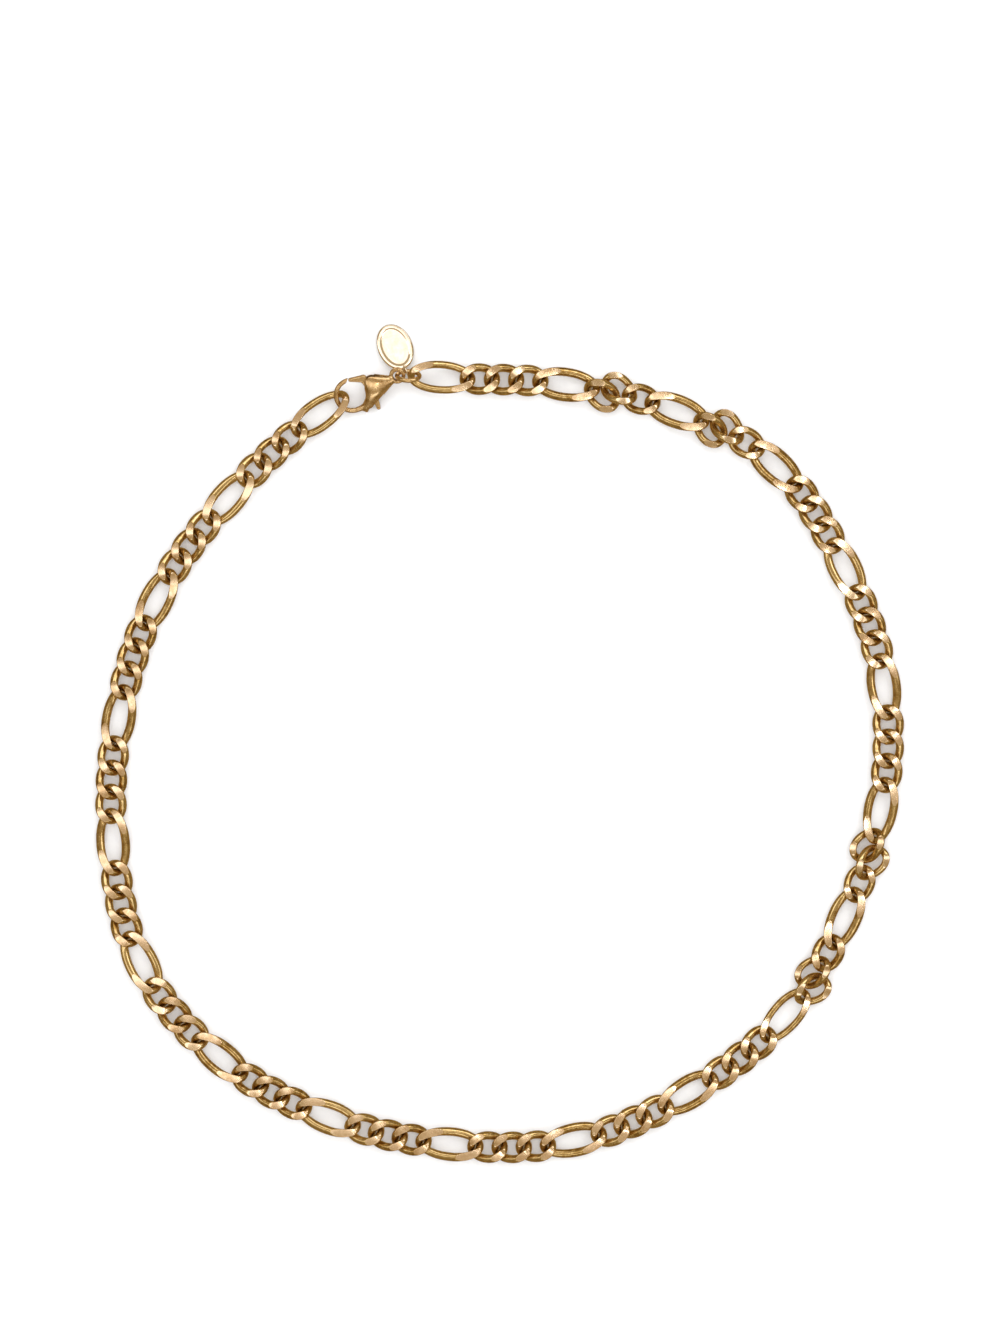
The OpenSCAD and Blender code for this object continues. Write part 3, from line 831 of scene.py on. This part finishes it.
def pin_distance(p):
    """The rivet: a straight pin with its ends hammered to low domes."""
    from_axis, height = np.linalg.norm(p[..., :2] - pivot, axis=-1), np.abs(p[..., 2])
    dome = np.hypot(from_axis, np.maximum(0, height - DOME_FROM)) - DOME_R
    bar = smooth_most(from_axis - PIN_D / 2, height - (BODY_T - PIN_SHORT) / 2, PIN_EDGE_SOFT)
    return smooth_most(bar, dome, DOME_SOFT)


cast_piece(
    "clasp_rivet", pin_distance, (*(pivot - 0.6), -1.8), (*(pivot + 0.6), 1.8), 0.05,
    (CLASP_LIE, CLASP_PLACE), "necklace", ["clasp_pin"], CLASP,
)

# Jump ring and tag

ring_spot, ring_heading = lie(-FIRST_FROM_RING, RING_R)
ring_onto = turned(0, 0, ring_heading)
lean_cos, lean_sin = np.cos(np.radians(RING_LEAN)), np.sin(np.radians(RING_LEAN))
loop_cos, loop_sin = np.cos(np.radians(LOOP_TURN)), np.sin(np.radians(LOOP_TURN))
ring_z = 2 * LOOP_WIRE_R + LOOP_PLAY + RING_WIRE_R + RING_R * loop_cos * lean_cos
ring_left = (clasp_z - ring_z) * np.tan(np.radians(RING_LEAN))
RING_LIE = ring_onto @ turned(90 + RING_LEAN, 0, 0)
RING_PLACE = ring_onto @ np.array([0, ring_left, 0]) + np.array([*ring_spot, ring_z])

SEAM_AT = 200.0
SEAM_EVEN = 0.25
SEAM_DEPTH, SEAM_WIDTH, SEAM_DIRT = 0.09, 0.035, 6


def jointed_ring(radius, wire_r, seam_at, stations=160, around=28):
    """A round wire bent to a ring, with a fine groove where its two ends are soldered together.

    A circle is carried round the ring, and shrinks a little in the stations next to the seam, which
    lie closer together than the others.
    """
    share = np.linspace(-1, 1, stations, endpoint=False)
    turn = share * (SEAM_EVEN + (1 - SEAM_EVEN) * share ** 2)
    a = np.radians(seam_at + 180 * turn)[:, None]
    w = np.radians(np.arange(around) * 360 / around)[None]
    out = np.stack([np.cos(a) * np.cos(w), np.sin(a) * np.cos(w), np.sin(w) + 0 * a], -1)
    from_seam = np.radians(180) * np.abs(turn) * radius
    thick = wire_r * (1 - SEAM_DEPTH * np.exp(-(from_seam / SEAM_WIDTH) ** 2))
    centre = np.stack([np.cos(a), np.sin(a), 0 * a], -1) * radius
    points = centre + thick[:, None, None] * out
    return points.reshape(-1, 3), out.reshape(-1, 3), ring_faces(stations, around)[:, ::-1]


ring_points, ring_normals, ring_quads = jointed_ring(RING_R, RING_WIRE_R, SEAM_AT)
seam_angle = np.degrees(np.arctan2(ring_points[:, 1], ring_points[:, 0])) % 360 - SEAM_AT
make_piece(
    "ring_wire", (ring_points @ RING_LIE.T + RING_PLACE, ring_normals @ RING_LIE.T, ring_quads),
    "necklace", ["jump_ring"], [RING],
    {"local": ring_points, "shade": np.full(len(ring_points), EVEN_SHADE),
     "tarnish_and_shade": np.clip(1 - np.abs(seam_angle) / SEAM_DIRT, 0, 1)},
)

TAG_LIE = turned(0, 0, ring_heading + TAG_TURN)
loop_way = np.array([-loop_sin, loop_cos * lean_sin, 0])
loop_from_ring = np.array([0, ring_left, 0]) + RING_R * loop_way
TAG_PLACE = ring_onto @ loop_from_ring + np.array([*ring_spot, 0])
LOOP_Z = LOOP_R + LOOP_WIRE_R
TAG_MIDDLE = LOOP_R - LOOP_WIRE_R + TAG_LEN / 2
TAG_ROUND, RIM_W, DISH_DEPTH = 0.28, 0.7, 0.06
DISH_SOFT, RIM_SOFT, LOOP_SOFT = 0.3, 0.15, 0.12
NOUGHT = 1e-6


def tag_distance(p):
    """An oval plate with softly rounded edges and a low rim, and the round loop it hangs from."""
    x, y, z = p[..., 0], p[..., 1] - TAG_MIDDLE, p[..., 2] - TAG_T / 2
    a, b = TAG_W / 2, TAG_LEN / 2
    share = np.maximum(np.hypot(x / a, y / b), NOUGHT)
    outline = (share - 1) * share / np.maximum(np.hypot(x / a ** 2, y / b ** 2), NOUGHT)
    slab = plate(outline, z, TAG_T / 2, TAG_ROUND)
    dish = smooth_most(outline + RIM_W, TAG_T / 2 - DISH_DEPTH - z, DISH_SOFT)
    slab = smooth_most(slab, -dish, RIM_SOFT)
    loop = np.hypot(np.hypot(p[..., 1], p[..., 2] - LOOP_Z) - LOOP_R, x) - LOOP_WIRE_R
    return smooth_least(slab, loop, LOOP_SOFT)


cast_piece(
    "tag_plate", tag_distance, (-3.4, -1.3, -0.3), (3.4, 9.4, 2.4), 0.07,
    (TAG_LIE, TAG_PLACE), "necklace", ["tag"], TAG,
)


# Floor, light and camera, in metres

FLOOR_HALF = 1.6
TOOTH, TOOTH_HEIGHT = 0.0012, 0.00005


def floor_material():
    """Matt white paper sweep with a barely visible tooth."""
    material, tree = new_material("paper")
    at = node(tree, "TexCoord").outputs["Object"]
    tooth = noise(tree, at, TOOTH, 3.0, 0.6)
    colour = blend_colour(tree, tooth, "F8F8F9", "FBFBFB")
    bump = node(tree, "Bump", {"Height": tooth}, Strength=0.15, Distance=TOOTH_HEIGHT)
    shader = node(
        tree, "BsdfPrincipled", {"Base Color": colour, "Normal": bump.outputs[0]},
        Roughness=0.9, Specular_IOR_Level=0.2,
    )
    node(tree, "OutputMaterial", {"Surface": shader.outputs[0]})
    return material


corners = [(x * FLOOR_HALF, y * FLOOR_HALF, 0) for x, y in ((-1, -1), (1, -1), (1, 1), (-1, 1))]
floor_mesh = bpy.data.meshes.new("floor")
floor_mesh.from_pydata(corners, [], [(0, 1, 2, 3)])
floor_mesh.materials.append(floor_material())
floor = bpy.data.objects.new("floor", floor_mesh)
bpy.context.scene.collection.objects.link(floor)
floor.visible_glossy = False

# Tones of the studio that metal mirrors, from straight below to straight above
STOPS = (
    (0.0, (0.42, 0.31, 0.15)), (0.4, (0.33, 0.24, 0.105)), (0.55, (0.26, 0.185, 0.07)),
    (0.75, (0.31, 0.225, 0.095)), (0.92, (0.43, 0.335, 0.185)), (1.0, (0.56, 0.445, 0.285)),
)
FILL = 1.0
WHITE = (1.0, 1.0, 1.0, 1.0)


def studio_world():
    """Warm walls as seen in the metal, and an even white fill for everything else."""
    world = bpy.data.worlds.new("studio")
    world.use_nodes = True
    sky = world.node_tree
    sky.nodes.clear()
    direction = node(sky, "TexCoord").outputs["Generated"]
    height = node(sky, "SeparateXYZ", {"Vector": direction}).outputs["Z"]
    ramp = node(sky, "ValToRGB", {"Fac": stretched(sky, height, -1.0, 1.0)})
    elements = ramp.color_ramp.elements
    while len(elements) < len(STOPS):
        elements.new(0.5)
    for element, (where, level) in zip(elements, STOPS):
        element.position = where
        element.color = (*level, 1)
    walls = node(sky, "Background", {"Color": ramp.outputs["Color"]}, Strength=1.0)
    fill = node(sky, "Background", Color=WHITE, Strength=FILL)
    is_glossy = node(sky, "LightPath").outputs["Is Glossy Ray"]
    mixed = node(sky, "MixShader", {0: is_glossy, 1: fill.outputs[0], 2: walls.outputs[0]})
    node(sky, "OutputWorld", {"Surface": mixed.outputs[0]})
    return world


def soft_box(name, place, size, level):
    """A rectangular soft light of an even level, facing the middle of the floor."""
    data = bpy.data.lights.new(name, "AREA")
    data.shape = "RECTANGLE"
    data.size, data.size_y = size
    data.energy = level * np.pi * size[0] * size[1]
    light = bpy.data.objects.new(name, data)
    light.location = place
    light.rotation_euler = Vector(place).to_track_quat("Z", "Y").to_euler()
    bpy.context.scene.collection.objects.link(light)


bpy.context.scene.world = studio_world()
soft_box("key", (0.58, 0.63, 0.62), (0.5, 0.46), 2.2)
soft_box("north_box", (-0.1, 0.85, 0.66), (1.1, 0.36), 1.6)
soft_box("west_box", (-0.74, 0.05, 0.75), (0.3, 0.9), 1.1)
soft_box("south_box", (0.05, -0.78, 0.7), (1.0, 0.28), 1.5)
soft_box("east_box", (0.8, -0.15, 0.66), (0.2, 0.8), 1.5)
soft_box("left_card", (-0.17, 0.02, 0.92), (0.2, 0.5), 1.1)
soft_box("right_card", (0.24, 0.0, 0.92), (0.22, 0.6), 0.35)
soft_box("spark", (0.137, 0.03, 0.9), (0.08, 0.09), 10.0)
soft_box("tag_card", (-0.037, 0.128, 0.88), (0.06, 0.06), 1.0)

CAMERA_PLACE = (0.00006, 0.01356, 0.9)
FRAME_WIDTH = 0.1794
FRAME_HEIGHT = FRAME_WIDTH * 1335 / 1000
SENSOR = 36
camera_data = bpy.data.cameras.new("camera")
camera_data.sensor_width = SENSOR
camera_data.lens = SENSOR * CAMERA_PLACE[2] / FRAME_HEIGHT
camera = bpy.data.objects.new("camera", camera_data)
camera.location = CAMERA_PLACE
camera.rotation_euler = (0, 0, 0)
bpy.context.scene.collection.objects.link(camera)
bpy.context.scene.camera = camera
bpy.context.scene.view_settings.view_transform = "Standard"
